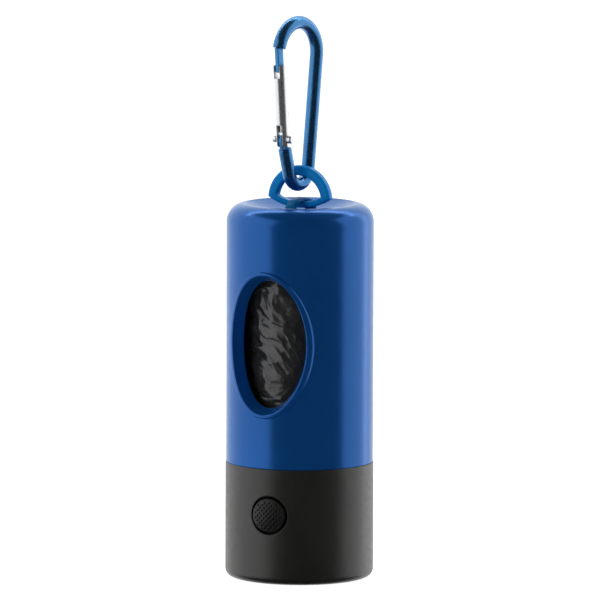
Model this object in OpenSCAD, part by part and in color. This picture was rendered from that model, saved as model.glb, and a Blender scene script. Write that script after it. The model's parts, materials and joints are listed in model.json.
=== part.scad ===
// Pocket dispenser for a roll of waste bags.
// A round shell with an oval window pushes onto a torch base, and a clip hangs from a ring on its top.
// Millimetres. Z is up, the origin is the middle of the base's rim, and the window faces -Y.

/* [Torch base] */
// Outside diameter of the torch base
base_d = 40.2; // [38:0.1:50]
// Height of the torch base up to the seam
base_h = 31.4; // [31:0.1:45]
// Radius of the rounded bottom edge
foot_r = 3.8; // [1:0.1:4]
// Height of the neck that the shell pushes onto
neck_h = 6; // [5:0.5:10]
// Wall of the neck
neck_wall = 1.3; // [1:0.1:1.8]
// Radial clearance between neck and shell
neck_gap = 0.1; // [0.05:0.05:0.3]
// Radius of the lamp bore at the bottom
lamp_r = 15.6; // [14.8:0.1:16]
// Thickness of the cover that closes the battery space
cover_t = 2; // [1.6:0.1:3]

/* [Bag shell] */
// Outside diameter of the bag shell
shell_d = 39.9; // [38:0.1:50]
// Height of the bag shell from the seam to its crest
shell_h = 70.2; // [68:0.1:110]
// Wall of the bag shell
shell_wall = 1.6; // [1.2:0.1:2]
// Radius of the rounded shoulder
shoulder_r = 5; // [2.5:0.1:6]
// Depth of the dish inside the crest
dish_depth = 3.2; // [2:0.1:3.5]

/* [Window] */
// Half width of the window at its outer edge
win_a = 11.4; // [9:0.1:12]
// Half height of the window at its outer edge
win_b = 18.8; // [14:0.1:22]
// Height of the window's middle above the seam
win_up = 33.5; // [28:0.1:45]
// Width of the raised lip beside the window
lip_side = 1.6; // [1:0.1:2.2]
// Width of the raised lip above and below the window
lip_end = 1; // [0.6:0.1:2]
// How far the lip stands proud of the shell
lip_proud = 0.5; // [0.2:0.1:0.9]
// Depth of the collar behind the window
collar_depth = 3.4; // [2.4:0.1:4]

/* [Button] */
// Diameter of the push button
button_d = 9.2; // [7:0.1:10]
// Clearance round the push button
button_gap = 0.6; // [0.3:0.05:0.7]
// Height of the button's middle
button_z = 18.9; // [18:0.1:24]
// Angle of the button round the base from the window's middle
button_turn = 4.5; // [-10:0.5:10]
// How far the button's dome stands out of the base
dome_proud = 1.3; // [0.8:0.1:1.6]

/* [Bag roll] */
// Diameter of a full roll of bags
roll_d = 27; // [20:0.5:30]
// Length of the roll
roll_len = 58; // [45:0.5:58]
// Outside diameter of the roll's core
core_d = 13; // [12.5:0.5:16]
// Diameter of the spindle that the core turns on
spindle_d = 10; // [6:0.5:11]
// Length of the spindle
spindle_len = 12; // [6:1:30]

/* [Ring and bridge] */
// Outside width of the ring
ring_w = 19; // [16.5:0.1:19.5]
// Thickness of the ring from front to back
ring_t = 2.4; // [1.6:0.1:2.6]
// Width of the ring's section
ring_bar = 2.7; // [2.2:0.1:2.9]
// Diameter of the round bar under the bridge
ring_pin_d = 1.6; // [1.4:0.1:2]
// How far the ring's lower bar sags below its corners
ring_sag = 2.75; // [2.4:0.05:3]
// Length of the bridge from front to back
bridge_len = 13.8; // [12:0.1:15]
// Width of the bridge
bridge_w = 2.8; // [1.8:0.1:3]
// Thickness of the bridge over the ring's bar
bridge_t = 1; // [0.8:0.1:2]
// Clearance between the ring's bar and the bridge
bridge_gap = 0.3; // [0.2:0.05:0.5]
// Height of the ring's bar above the middle of the dish
ring_lift = 1.95; // [1.2:0.05:2.2]

/* [Clip] */
// Diameter of the clip's rod
rod_d = 3.6; // [2.8:0.1:3.8]
// Centreline radius of the lower bend
bend_r = 4.3; // [4.1:0.1:5]
// Centreline radius of the upper bend
crown_r = 8.5; // [8:0.1:10.5]
// Distance between the middles of the two bends
bend_span = 31.1; // [28:0.1:40]
// Lean of the spine from upright
spine_lean = 6.8; // [5.5:0.1:9]
// Lean of the lower arm from upright
arm_lean = 16; // [14:0.5:23]
// Height of the gate's rivet above the lower bend's middle
rivet_up = 8.5; // [7.5:0.1:10]
// Length of the gate from its rivet to its top
gate_len = 20.5; // [16:0.1:22]
// Turn of the clip about the upright axis
clip_turn = 8; // [0:0.5:12]
// How far the clip hangs to one side of the ring's top
clip_x = -0.6; // [-1:0.1:1]
// Thickness of the tang and the tongue
tang_t = 1.2; // [0.9:0.1:1.4]
// Diameter of the gate's rivet
rivet_d = 1.5; // [1.2:0.1:1.6]

/* [Hidden] */
$fn = 96;

// Radii and heights that several pieces share
base_r = base_d / 2;
shell_r = shell_d / 2;
shell_bore_r = shell_r - shell_wall;
neck_r = shell_bore_r - neck_gap;
bore_r = neck_r - neck_wall;
seam_z = base_h;
neck_top = seam_z + neck_h;
cover_z = neck_top - cover_t;
crest_z = seam_z + shell_h;
crest_r = shell_r - shoulder_r;
dish_z = crest_z - dish_depth;
seat_gap = 0.15;

// Growth of the window's half width and half height for each millimetre outwards
flare = 0.7;
rise = 0.5;

// Key that keeps the window over the button
key_w = 2;
key_gap = 0.2;
key_depth = 0.9;

// Lamp, from the bottom up
bezel_recess = 0.3;
bezel_t = 1.2;
bezel_w = 2.05;
lens_t = 1.2;
lens_z = bezel_recess + bezel_t;
flange_z = lens_z + lens_t;
led_d = 5;
led_h = 8.6;
led_rim_d = 5.8;
led_rim_h = 1;
led_ring_r = 3.6;
led_gap = 0.15;
board_t = 1.2;
board_z = flange_z + 0.3 + led_h;
board_top = board_z + board_t;
bowl_z = board_z - led_rim_h;
ledge_w = 0.8;
ledge_t = 1.2;
bowl_r = 7;
bowl_t = 0.6;
bowl_rim = 1.2;
coat_r = 0.9;
coat_len = 3.6;
coat_reach = 12.2;
tail_x = 3;
tail_r = 0.25;

// Battery space
cell_d = 11.6;
cell_t = 5.4;
tube_wall = 1.4;
tube_r = cell_d / 2 + 0.2 + tube_wall;
tube_floor = 1;
tube_foot = 0.3;
tube_foot_h = 1.2;
plate_t = 0.5;
plate_gap = 0.2;
tab_w = 2.4;
plate_r = 5;
post_r = 2;
coil_low_r = 4.4;
coil_top_r = 2;
coil_wire_r = 0.3;
cap_h = 0.5;
cap_step = 1.2;
upper_h = 2.5;
cells_top = cover_z - upper_h;
cells_z = cells_top - 3 * cell_t;
spring_z = board_top + tube_floor + plate_t;
lead_x = tube_r + 2.1;
lead_r = 0.6;
boss_r = 2.6;
boss_x = bore_r - 2.4;
boss_y = 4;
screw_r = 0.75;
screw_len = 8;
head_r = 1.7;
head_t = 0.9;
head_recess = 2.1;
cross_len = 2.4;
cross_w = 0.4;
pilot_r = 0.8;
pilot_len = 10;

// Button and switch, measured outwards from the axis
button_r = button_d / 2;
hole_r = button_r + button_gap;
flange_r = hole_r + 0.8;
pocket_r = flange_r + 0.6;
pocket_y = bore_r + 0.2;
flange_t = 1;
flange_y = pocket_y - 0.1 - flange_t;
dome_sag = 1.3;
dome_r = (button_r * button_r + dome_sag * dome_sag) / (2 * dome_sag);
switch_w = 6;
switch_y = tube_r + 1.6;
switch_t = 3.5;
switch_well = 2.2;
strip_w = 8;
strip_t = 1;
plunger_r = 1.7;
plunger_gap = 0.1;
dimple_pitch = 0.98;
dimple_r = 0.33;

// Ring and its bridge
leg_t = 2;
ring_gap_x = bridge_w / 2 + 0.9;
pin_r = ring_pin_d / 2;
pin_z = dish_z + ring_lift + pin_r;
ring_r = ring_w / 2;
corner_z = pin_z - pin_r + ring_sag;
arch_drop = 0.75;
arch_centre_z = corner_z - arch_drop;
hang_gap = 0.75;
bow_r = (ring_r * ring_r + ring_sag * ring_sag) / (2 * ring_sag);
bow_z = corner_z + bow_r - ring_sag;
arch_under = pin_z + pin_r + bridge_gap;
arch_top = arch_under + bridge_t;
arch_z = dish_z + 0.7;

// Clip, in its own plane: u is the distance back from the lower bend's middle
rod_r = rod_d / 2;
bend_z = arch_centre_z + ring_r - ring_bar - hang_gap - rod_r + bend_r;
crown_z = bend_z + bend_span;
crown_u = (bend_r - crown_r + bend_span * sin(spine_lean)) / cos(spine_lean);
arm_u = -bend_r * cos(arm_lean);
arm_z = bend_z - bend_r * sin(arm_lean);
rivet_z = bend_z + rivet_up;
rivet_u = arm_u - (rivet_z - arm_z) * tan(arm_lean);
nose_angle = 10;
nose_u = crown_u - crown_r * cos(nose_angle);
nose_z = crown_z + crown_r * sin(nose_angle);
gate_lean = atan((rivet_u - nose_u) / (nose_z - rivet_z));
rivet_r = rivet_d / 2;
gate_foot_r = 2.3;
arm_len = (rivet_z - arm_z) / cos(arm_lean) - gate_foot_r - 0.35;
slot_w = tang_t + 0.6;
tang_r = 1.55;
top_slot = 3.8;
foot_slot = 4;
tongue_reach = 2.2;
tongue_w = 2.4;
bore_z = tang_r + 0.3;
bore_top = 12;
pusher_top = foot_slot + 0.5;
gate_bore_r = 1;
gate_wire_r = 0.15;
joint_swell = 0.03;
joint_step = 0.06;

// Points of an ellipse's quarter or whole, worked out by angle
function oval(a, b, n = 64) = [for (i = [0 : n - 1]) [a * cos(360 * i / n), b * sin(360 * i / n)]];

// Shoulder from the side up to the crest, a quarter circle set in by the inset
function shoulder(inset) = [for (t = [0 : 6 : 90])
    [crest_r + (shoulder_r - inset) * cos(t), crest_z - shoulder_r + (shoulder_r - inset) * sin(t)]];

// Dish from just inside the crest down to the middle
function dish(drop) = [for (i = [9 : -1 : 0])
    [crest_r * i / 10, dish_z - drop + dish_depth * pow(i / 10, 2)]];

// Points along a coil that narrows from r0 to r1 as it climbs
function coil_point(t, r0, r1, h, turns) =
    [(r0 + (r1 - r0) * t) * cos(360 * turns * t), (r0 + (r1 - r0) * t) * sin(360 * turns * t), h * t];

// A round wire wound as a coil, one closed tube
module coil(r0, r1, h, turns, wire_r, rings = 60, sides = 8) {
    pts = [for (i = [0 : rings]) for (k = [0 : sides - 1])
        let (t = i / rings, p = coil_point(t, r0, r1, h, turns), a = 360 * turns * t, w = 360 * k / sides)
        [p[0] + wire_r * cos(w) * cos(a), p[1] + wire_r * cos(w) * sin(a), p[2] + wire_r * sin(w)]];
    skin = [for (i = [0 : rings - 1]) for (k = [0 : sides - 1])
        let (a = i * sides + k, b = i * sides + (k + 1) % sides)
        [a, a + sides, b + sides, b]];
    first = [for (k = [0 : sides - 1]) k];
    last = [for (k = [sides - 1 : -1 : 0]) rings * sides + k];
    polyhedron(points = pts, faces = concat(skin, [first, last]), convexity = 10);
}

// A rod that follows straight steps between points
module wire_run(points, r) {
    for (i = [0 : len(points) - 2]) {
        d = points[i + 1] - points[i];
        len_d = norm(d);
        translate(points[i])
            rotate([0, acos(d[2] / len_d), atan2(d[1], d[0])])
                cylinder(r = r, h = len_d, $fn = 24);
        if (i > 0) translate(points[i]) sphere(r = 1.06 * r, $fn = 24);
    }
}

// Places its children on the button's axis, with local Z pointing out of the base
module on_button() {
    rotate([0, 0, button_turn]) translate([0, 0, button_z]) rotate([90, 0, 0]) children();
}

// Places its children in the clip's plane: local X is u, local Y is height, local Z is across
module on_clip() {
    translate([clip_x, 0, 0]) rotate([0, 0, -clip_turn]) rotate([90, 0, 90]) children();
}

// Places its children on the gate's line, with local Z running up the gate from the rivet
module on_gate() {
    on_clip() translate([rivet_u, rivet_z, 0]) rotate([-90, 0, gate_lean]) children();
}

// TORCH BASE

// Outer body of the base with its rounded foot
module housing_blank() {
    rotate_extrude()
        polygon(concat([[0, 0]],
            [for (t = [0 : 10 : 90]) [base_r - foot_r + foot_r * sin(t), foot_r - foot_r * cos(t)]],
            [[base_r, base_h], [0, base_h]]));
    translate([0, 0, base_h - 1]) cylinder(r = neck_r, h = neck_h + 1);
}

// Hollow of the base: lamp bore, ledge for the board and battery space
module housing_hollow() {
    translate([0, 0, -1]) cylinder(r = lamp_r, h = board_top + 1);
    cylinder(r = lamp_r - ledge_w, h = neck_top);
    translate([0, 0, board_top + ledge_t]) cylinder(r = bore_r, h = neck_top);
}

module base_housing() color("#1d1d1b") {
    difference() {
        union() {
            difference() {
                housing_blank();
                housing_hollow();
            }
            for (s = [-1, 1]) intersection() {
                translate([s * boss_x, boss_y, board_top + ledge_t])
                    cylinder(r = boss_r, h = cover_z - board_top - ledge_t, $fn = 48);
                cylinder(r = bore_r + 0.5, h = neck_top);
            }
        }
        for (s = [-1, 1]) translate([s * boss_x, boss_y, cover_z - pilot_len])
            cylinder(r = pilot_r, h = pilot_len + 1, $fn = 24);
        on_button() {
            cylinder(r = hole_r, h = base_r + 2);
            translate([0, 0, tube_r]) cylinder(r = pocket_r, h = pocket_y - tube_r);
        }
        translate([-key_w / 2 - key_gap, bore_r - 1, seam_z]) cube([key_w + 2 * key_gap, 4, neck_h + 1]);
    }
}

module lens_bezel() color("#262624") {
    translate([0, 0, bezel_recess]) difference() {
        cylinder(r = lamp_r - seat_gap, h = bezel_t);
        translate([0, 0, -1]) cylinder(r = lamp_r - seat_gap - bezel_w, h = bezel_t + 2);
    }
}

module lens() color([0.85, 0.9, 0.95, 0.5]) {
    translate([0, 0, lens_z]) cylinder(r = lamp_r - seat_gap, h = lens_t);
}

module reflector() color("silver") {
    difference() {
        rotate_extrude()
            polygon([[0, bowl_z], [0, bowl_z - 1], [bowl_r, bowl_z - 1], [lamp_r - 1.6, flange_z],
                     [lamp_r - seat_gap, flange_z], [lamp_r - seat_gap, flange_z + bowl_rim],
                     [lamp_r - 1.3, flange_z + bowl_rim], [bowl_r + bowl_t, bowl_z]]);
        for (i = [0 : 2]) rotate([0, 0, 120 * i + 90]) translate([led_ring_r, 0, flange_z])
            cylinder(r = led_d / 2 + led_gap, h = led_h, $fn = 48);
    }
}

// One lamp, its dome pointing down at the lens
module led(i) color([0.95, 0.95, 0.85]) {
    rotate([0, 0, 120 * i + 90]) translate([led_ring_r, 0, 0]) {
        translate([0, 0, board_z - led_rim_h]) cylinder(r = led_rim_d / 2, h = led_rim_h, $fn = 48);
        translate([0, 0, board_z - led_h + led_d / 2])
            cylinder(r = led_d / 2, h = led_h - led_d / 2, $fn = 48);
        translate([0, 0, board_z - led_h + led_d / 2]) sphere(r = led_d / 2, $fn = 48);
    }
}

module led_board() color("#1f5a35") {
    translate([0, 0, board_z]) cylinder(r = lamp_r - seat_gap, h = board_t);
}

// Resistor under the board, beside the reflector
module resistor() color("#c8b088") {
    drop = coat_r + 0.05;
    rotate([0, 0, 30]) translate([coat_reach, 0, board_z - drop]) {
        rotate([90, 0, 0]) cylinder(r = coat_r, h = coat_len, center = true, $fn = 32);
        wire_run([[0, -tail_x, drop], [0, -tail_x, 0], [0, tail_x, 0], [0, tail_x, drop]], tail_r);
    }
}

module switch_body() color("#3a3a3a") {
    on_button() translate([0, 0, switch_y]) difference() {
        translate([-switch_w / 2, -switch_w / 2, 0]) cube([switch_w, switch_w, switch_t]);
        translate([0, 0, switch_t - switch_well])
            cylinder(r = plunger_r + plunger_gap, h = switch_well + 1, $fn = 48);
    }
}

// Small upright board that carries the switch and stands on the lamp board
module switch_board() color("#1f5a35") {
    low = button_z - board_top;
    on_button() translate([-strip_w / 2, -low, switch_y - strip_t])
        cube([strip_w, low + switch_w / 2 + 1, strip_t]);
}

module battery_tube() color("#2c2c2a") {
    difference() {
        union() {
            translate([0, 0, board_top]) cylinder(r = tube_r, h = cover_z - board_top - plate_t - 0.6);
            translate([0, 0, board_top]) cylinder(r = tube_r + tube_foot, h = tube_foot_h);
        }
        translate([0, 0, board_top + tube_floor]) cylinder(r = tube_r - tube_wall, h = base_h);
        translate([-tube_r - 2, -tab_w / 2 - 0.3, board_top + tube_floor])
            cube([tube_r + 2, tab_w + 0.6, plate_t + plate_gap]);
    }
}

module lower_contact() color("gold") {
    translate([0, 0, board_top + tube_floor]) {
        cylinder(r = tube_r - tube_wall - plate_gap, h = plate_t);
        translate([-lead_x - 1, -tab_w / 2, 0]) cube([lead_x + 1, tab_w, plate_t]);
    }
}

module contact_spring() color("silver") {
    translate([0, 0, spring_z + coil_wire_r])
        coil(coil_low_r, coil_top_r, cells_z - spring_z - 2 * coil_wire_r, 3, coil_wire_r);
}

// One button cell with its smaller cap on top
module cell(i) color("#b9bcc0") {
    translate([0, 0, cells_z + i * cell_t]) {
        cylinder(r = cell_d / 2, h = cell_t - cap_h);
        cylinder(r = cell_d / 2 - cap_step, h = cell_t);
    }
}

module upper_contact() color("gold") {
    translate([0, 0, cover_z - plate_t]) {
        cylinder(r = plate_r, h = plate_t);
        translate([0, -tab_w / 2, 0]) cube([lead_x + 1, tab_w, plate_t]);
    }
    translate([0, 0, cells_top]) cylinder(r = post_r, h = upper_h, $fn = 48);
}

module torch_cover() color("#1d1d1b") {
    difference() {
        union() {
            translate([0, 0, cover_z]) cylinder(r = bore_r - seat_gap, h = cover_t);
            translate([0, 0, cover_z]) cylinder(r = spindle_d / 2, h = cover_t + spindle_len);
        }
        for (s = [-1, 1]) translate([s * boss_x, boss_y, cover_z - 1]) {
            cylinder(r = pilot_r + 0.15, h = cover_t + 2, $fn = 24);
            translate([0, 0, cover_t + 1 - head_t - 0.2]) cylinder(r = head_r + 0.2, h = head_recess, $fn = 32);
        }
    }
}

// Two screws that hold the cover on its bosses
module cover_screws() color("silver") {
    for (s = [-1, 1]) translate([s * boss_x, boss_y, 0]) {
        translate([0, 0, cover_z - screw_len]) cylinder(r = screw_r, h = screw_len + 1, $fn = 24);
        difference() {
            translate([0, 0, cover_z + cover_t - head_t - 0.2]) cylinder(r = head_r, h = head_t, $fn = 32);
            for (a = [0, 90]) rotate([0, 0, a])
                translate([-cross_len / 2, -cross_w / 2, cover_z + cover_t - 0.5])
                    cube([cross_len, cross_w, 1]);
        }
    }
}

// Lead from the upper contact down to the lamp board
module red_lead() color("red") {
    wire_run([[lead_x, 0, board_top], [lead_x, 0, cover_z - plate_t]], lead_r);
}

// Lead from the lower contact to the back of the switch board
module black_lead() color("black") {
    low = spring_z;
    across_y = -switch_y + 0.4;
    wire_run([[-lead_x, 0, low], [-lead_x, 0, low + 4], [-lead_x, across_y, low + 6], [-3.9, across_y, low + 6]],
             lead_r);
}

// Rubber button with a domed, dimpled face and a flange that keeps it in
module button() color("#232321") {
    on_button() difference() {
        union() {
            intersection() {
                translate([0, 0, flange_y]) cylinder(r = button_r, h = base_r + dome_proud - flange_y);
                translate([0, 0, base_r + dome_proud - dome_r]) sphere(r = dome_r);
            }
            translate([0, 0, flange_y]) cylinder(r = flange_r, h = flange_t);
        }
        for (i = [-4 : 4]) for (j = [-4 : 4]) dimple(i, j);
    }
}

// One shallow dimple of the button's diagonal grid
module dimple(i, j) {
    across = (i - j) * dimple_pitch / sqrt(2);
    up = (i + j) * dimple_pitch / sqrt(2);
    off = sqrt(across * across + up * up);
    if (off < button_r - 1)
        translate([across, up, base_r + dome_proud - dome_r + sqrt(dome_r * dome_r - off * off) + 0.1])
            sphere(r = dimple_r, $fn = 16);
}

module switch_plunger() color("#8a8a86") {
    on_button() translate([0, 0, switch_y + switch_t - 0.6])
        cylinder(r = plunger_r, h = flange_y - switch_y - switch_t + 0.6, $fn = 48);
}

// BAG ROLL

module roll_core() color("#b59a72") {
    translate([0, 0, neck_top]) difference() {
        cylinder(r = core_d / 2, h = roll_len);
        translate([0, 0, -1]) cylinder(r = spindle_d / 2 + 0.3, h = roll_len + 2);
    }
}

module bag_roll() color("#2b2c2e") {
    translate([0, 0, neck_top + 0.3]) difference() {
        cylinder(r = roll_d / 2, h = roll_len - 0.6);
        translate([0, 0, -1]) cylinder(r = core_d / 2, h = roll_len + 2);
    }
}

// BAG SHELL

// Flared cutter for the window: an oval that narrows towards the roll
module window_cutter() {
    side_y = sqrt(shell_r * shell_r - win_a * win_a);
    hull() for (y = [shell_r - collar_depth - 4, shell_r + 2])
        translate([0, -y, seam_z + win_up]) rotate([90, 0, 0]) linear_extrude(0.01)
            polygon(oval(win_a + flare * (y - side_y), win_b + rise * (y - shell_r), 48));
}

// A band of the shell's front between two radii, inside an oval seen from the front
module oval_band(inner_r, outer_r, a, b) {
    intersection() {
        difference() {
            translate([0, 0, seam_z]) cylinder(r = outer_r, h = shell_h - shoulder_r);
            translate([0, 0, seam_z - 1]) cylinder(r = inner_r, h = shell_h);
        }
        translate([0, 0, seam_z + win_up]) rotate([90, 0, 0]) linear_extrude(shell_r + 5) polygon(oval(a, b));
    }
}

// Bridge over the dish that holds the ring's bar
module bridge() {
    half = bridge_len / 2;
    inner = half - leg_t;
    translate([-bridge_w / 2, 0, 0]) rotate([90, 0, 90]) linear_extrude(bridge_w) difference() {
        polygon(concat([[half, dish_z - 0.6]],
            [for (t = [0 : 6 : 180]) [half * cos(t), arch_z + (arch_top - arch_z) * sin(t)]],
            [[-half, dish_z - 0.6]]));
        polygon(concat([[inner, dish_z - 1]],
            [for (t = [0 : 6 : 180]) [inner * cos(t), arch_z + (arch_under - arch_z) * sin(t)]],
            [[-inner, dish_z - 1]]));
    }
}

module shell() color("#0c3f94") {
    difference() {
        union() {
            difference() {
                rotate_extrude()
                    polygon(concat([[0, seam_z], [shell_r, seam_z]], shoulder(0), dish(0)));
                rotate_extrude()
                    polygon(concat([[0, seam_z - 1], [shell_bore_r, seam_z - 1]], shoulder(shell_wall),
                                   dish(shell_wall)));
            }
            oval_band(shell_r - collar_depth, shell_r - 0.2, win_a + lip_side - 0.2, win_b + lip_end - 0.2);
            oval_band(shell_r - 0.5, shell_r + lip_proud, win_a + lip_side, win_b + lip_end);
            translate([-key_w / 2, shell_bore_r - key_depth, seam_z])
                cube([key_w, key_depth + 0.5, neck_h - 0.5]);
        }
        window_cutter();
    }
    bridge();
}

// RING AND CLIP

module d_ring() color("#0d5fae") {
    rotate([90, 0, 0]) translate([0, 0, -ring_t / 2]) difference() {
        linear_extrude(ring_t) union() {
            intersection() {
                translate([0, arch_centre_z]) circle(r = ring_r);
                translate([-ring_r, corner_z]) square([ring_w, ring_r]);
            }
            intersection() {
                translate([0, bow_z]) circle(r = bow_r);
                translate([-ring_r, corner_z - ring_sag]) square([ring_w, ring_sag]);
            }
        }
        translate([0, 0, -1]) linear_extrude(ring_t + 2) intersection() {
            translate([0, arch_centre_z]) circle(r = ring_r - ring_bar);
            translate([0, bow_z]) circle(r = bow_r - ring_pin_d);
        }
        translate([-ring_gap_x, corner_z - ring_sag - 1, -1])
            cube([2 * ring_gap_x, ring_pin_d + 1.4, ring_t + 2]);
    }
    translate([-ring_gap_x - 0.4, 0, pin_z]) rotate([0, 90, 0])
        cylinder(r = pin_r, h = 2 * ring_gap_x + 0.8, $fn = 48);
}

// A bend of round rod in the clip's plane, from angle a0 through a turn
module rod_bend(u, z, r, a0, turn) {
    translate([u, z, 0]) rotate([0, 0, a0]) rotate_extrude(angle = turn)
        translate([r, 0]) circle(r = rod_r, $fn = 48);
}

// A straight rod in the clip's plane
module rod_line(u, z, lean, length) {
    translate([u, z, 0]) rotate([-90, 0, lean]) cylinder(r = rod_r, h = length, $fn = 48);
}

// A slightly fuller ball that joins a bend to a straight rod
module rod_joint(u, z) {
    translate([u, z, 0]) sphere(r = rod_r + joint_swell, $fn = 48);
}

module clip_frame() color("#0a4f9e") {
    spine_u = bend_r * cos(spine_lean);
    spine_z = bend_z - bend_r * sin(spine_lean);
    top_u = crown_u + crown_r * cos(spine_lean);
    top_z = crown_z - crown_r * sin(spine_lean);
    low_step = joint_step / bend_r * 180 / PI;
    high_step = joint_step / crown_r * 180 / PI;
    difference() {
        union() {
            on_clip() {
                rod_bend(0, bend_z, bend_r, 180 + arm_lean + low_step, 180 - arm_lean - spine_lean - 2 * low_step);
                rod_joint(arm_u, arm_z);
                rod_line(arm_u - joint_step * sin(arm_lean), arm_z + joint_step * cos(arm_lean), arm_lean,
                         arm_len - joint_step);
                rod_joint(spine_u, spine_z);
                rod_line(spine_u + joint_step * sin(spine_lean), spine_z + joint_step * cos(spine_lean),
                         -spine_lean, norm([top_u - spine_u, top_z - spine_z]) - 2 * joint_step);
                rod_joint(top_u, top_z);
                rod_bend(crown_u, crown_z, crown_r, high_step - spine_lean, 180 - nose_angle + spine_lean - high_step);
                translate([rivet_u, rivet_z, -tang_t / 2]) cylinder(r = tang_r, h = tang_t, $fn = 48);
                translate([rivet_u, rivet_z, -tang_t / 2]) rotate([0, 0, arm_lean])
                    translate([-tang_r + 0.1, -gate_foot_r - 1.4, 0.02])
                        cube([2 * tang_r - 0.2, gate_foot_r + 1.4, tang_t - 0.04]);
            }
            on_gate() translate([-tongue_w / 2, -tang_t / 2, gate_len - tongue_reach])
                cube([tongue_w, tang_t, norm([nose_u - rivet_u, nose_z - rivet_z]) - gate_len + tongue_reach + 0.8]);
        }
        on_clip() translate([rivet_u, rivet_z, -5]) cylinder(r = rivet_r + 0.01, h = 10, $fn = 32);
    }
}

module gate_rivet() color("#9fb4cc") {
    on_clip() translate([rivet_u, rivet_z, 0]) {
        cylinder(r = rivet_r, h = 2 * rod_r + 2.8, center = true, $fn = 32);
        for (s = [-1, 1]) translate([0, 0, s * (rod_r + 0.75)])
            cylinder(r = rivet_r + 0.35, h = 1.3, center = true, $fn = 32);
    }
}

// Spring-loaded gate: a round bar slotted at both ends and rounded at its foot
module gate() color("#d5d8dc") {
    difference() {
        union() {
            on_gate() cylinder(r = rod_r, h = gate_len, $fn = 48);
            on_gate() intersection() {
                translate([0, 0, -gate_foot_r]) cylinder(r = rod_r, h = 2 * gate_foot_r, $fn = 48);
                rotate([90, 0, 0]) cylinder(r = gate_foot_r, h = 2 * rod_d, center = true, $fn = 48);
            }
        }
        on_gate() translate([-rod_d, -slot_w / 2, -rod_d]) cube([2 * rod_d, slot_w, rod_d + foot_slot]);
        on_gate() translate([-rod_d, -slot_w / 2, gate_len - top_slot]) cube([2 * rod_d, slot_w, rod_d + top_slot]);
        on_gate() translate([0, 0, bore_z]) cylinder(r = gate_bore_r, h = bore_top - bore_z, $fn = 32);
        on_gate() rotate([90, 0, 0]) cylinder(r = rivet_r + 0.05, h = 4 * rod_d, center = true, $fn = 32);
    }
}

module gate_spring() color("silver") {
    coil_r = gate_bore_r - gate_wire_r - 0.1;
    on_gate() translate([0, 0, pusher_top + gate_wire_r])
        coil(coil_r, coil_r, bore_top - pusher_top - 2 * gate_wire_r, 6, gate_wire_r, 72, 6);
}

module gate_pusher() color("silver") {
    on_gate() translate([0, 0, bore_z])
        cylinder(r = gate_bore_r - 0.1, h = pusher_top - bore_z, $fn = 32);
}

base_housing();
lens_bezel();
lens();
reflector();
led(0);  // led_1
led(1);  // led_2
led(2);  // led_3
led_board();
resistor();
switch_body();
switch_board();
battery_tube();
lower_contact();
contact_spring();
cell(0);  // cell_1
cell(1);  // cell_2
cell(2);  // cell_3
upper_contact();
torch_cover();
cover_screws();
red_lead();
black_lead();
button();
switch_plunger();
roll_core();
bag_roll();
shell();
d_ring();
clip_frame();
gate_rivet();
gate();
gate_spring();
gate_pusher();
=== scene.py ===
"""Looks of a pocket dispenser for rolled waste bags: a blue shell with an oval window, a black torch base,
a ring and a clip. Every piece is worked out as whole arrays and rides on its CAD body."""
import json
import math

import bmesh
import bpy
import numpy as np
from bpy.props import FloatProperty, FloatVectorProperty, IntProperty, PointerProperty
from mathutils import Matrix, Vector


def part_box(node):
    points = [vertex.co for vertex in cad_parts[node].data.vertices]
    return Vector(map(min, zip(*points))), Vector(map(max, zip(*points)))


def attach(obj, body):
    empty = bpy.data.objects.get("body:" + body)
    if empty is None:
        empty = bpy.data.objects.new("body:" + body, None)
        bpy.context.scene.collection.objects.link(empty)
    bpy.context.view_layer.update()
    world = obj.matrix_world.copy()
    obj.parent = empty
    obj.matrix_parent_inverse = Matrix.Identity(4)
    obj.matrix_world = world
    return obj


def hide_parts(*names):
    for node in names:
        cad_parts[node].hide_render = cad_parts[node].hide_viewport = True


bl_info = {
    "name": "Waste bag dispenser",
    "version": (1, 0, 0),
    "blender": (4, 5, 0),
    "location": "View3D > Sidebar > Dispenser",
    "description": "Builds the visible pieces of a pocket waste bag dispenser round its CAD frame",
    "category": "Add Mesh",
}

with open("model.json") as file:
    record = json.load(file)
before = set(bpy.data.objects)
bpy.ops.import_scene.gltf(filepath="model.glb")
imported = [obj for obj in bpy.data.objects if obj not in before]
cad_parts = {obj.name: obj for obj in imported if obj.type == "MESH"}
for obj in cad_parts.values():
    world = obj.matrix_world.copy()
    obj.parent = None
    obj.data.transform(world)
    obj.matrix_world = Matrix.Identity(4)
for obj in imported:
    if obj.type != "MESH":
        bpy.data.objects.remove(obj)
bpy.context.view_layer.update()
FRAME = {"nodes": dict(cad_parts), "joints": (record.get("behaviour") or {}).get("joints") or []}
MM = 0.001
UP = np.array([0, 0, 1.0])
JOINT_AT = {j["name"]: j["pos_m"] for j in FRAME["joints"] if "pos_m" in j}


def cad_box(name):
    """Lowest and highest corner of a CAD node, in millimetres."""
    lo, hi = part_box(name)
    return np.array(lo) / MM, np.array(hi) / MM


# Numbers read from the frame, in millimetres
SEAM = cad_box("shell")[0][2]
BASE_R = cad_box("base_housing")[1][0]
NECK_TOP = cad_box("base_housing")[1][2]
BUTTON_Z = float((cad_box("button")[0][2] + cad_box("button")[1][2]) / 2)
ROLL_LO, ROLL_HI = cad_box("bag_roll")


# SHAPE HELPERS


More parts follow.
